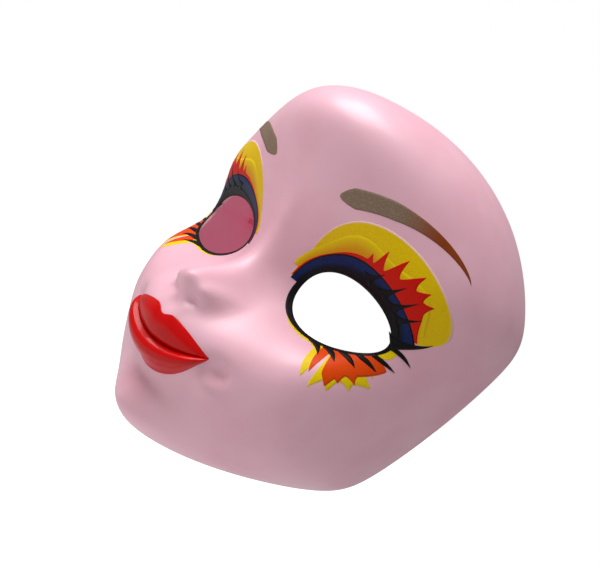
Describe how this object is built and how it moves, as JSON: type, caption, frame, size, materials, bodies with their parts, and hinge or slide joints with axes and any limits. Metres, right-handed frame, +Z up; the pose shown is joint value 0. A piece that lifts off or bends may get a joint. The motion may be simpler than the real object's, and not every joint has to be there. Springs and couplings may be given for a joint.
{
  "type": "full-face mask",
  "caption": "Full-face doll mask: a thin moulded plastic shell with two eye openings, strap lugs inside the temples and printed make-up films.",
  "frame": {"origin": "middle of the plane that touches the rearmost points of the rim, at the temples, where the wearer's face or a wall is", "axes": "+Z up to the crown, +Y back to the wearer, so the face looks along -Y, and +X to the mask's own left"},
  "size_m": [0.1782, 0.1217, 0.1985],
  "materials": {
    "pink_plastic": "satin moulded plastic with a fine grain",
    "lip_gloss": "glossy red paint",
    "brow_paint": "fine speckled brown print",
    "yellow_paint": "satin print with a soft edge",
    "orange_paint": "satin print fading at its edge",
    "flame_red_paint": "satin print",
    "navy_paint": "satin print",
    "black_paint": "satin print"
  },
  "bodies": {
    "root": {"mask_shell": "pink_plastic", "upper_lip_paint": "lip_gloss", "lower_lip_paint": "lip_gloss", "strap_lug_left": "pink_plastic", "brow_paint_left": "brow_paint", "yellow_shade_left": "yellow_paint", "orange_shade_left": "orange_paint", "red_flames_left": "flame_red_paint", "navy_band_left": "navy_paint", "eye_liner_left": "black_paint", "upper_lashes_left": "black_paint", "lower_flames_left": "flame_red_paint", "lower_glow_left": "yellow_paint", "lower_lashes_left": "black_paint", "strap_lug_right": "pink_plastic", "brow_paint_right": "brow_paint", "yellow_shade_right": "yellow_paint", "orange_shade_right": "orange_paint", "red_flames_right": "flame_red_paint", "navy_band_right": "navy_paint", "eye_liner_right": "black_paint", "upper_lashes_right": "black_paint", "lower_flames_right": "flame_red_paint", "lower_glow_right": "yellow_paint", "lower_lashes_right": "black_paint"}
  },
  "joints": []
}
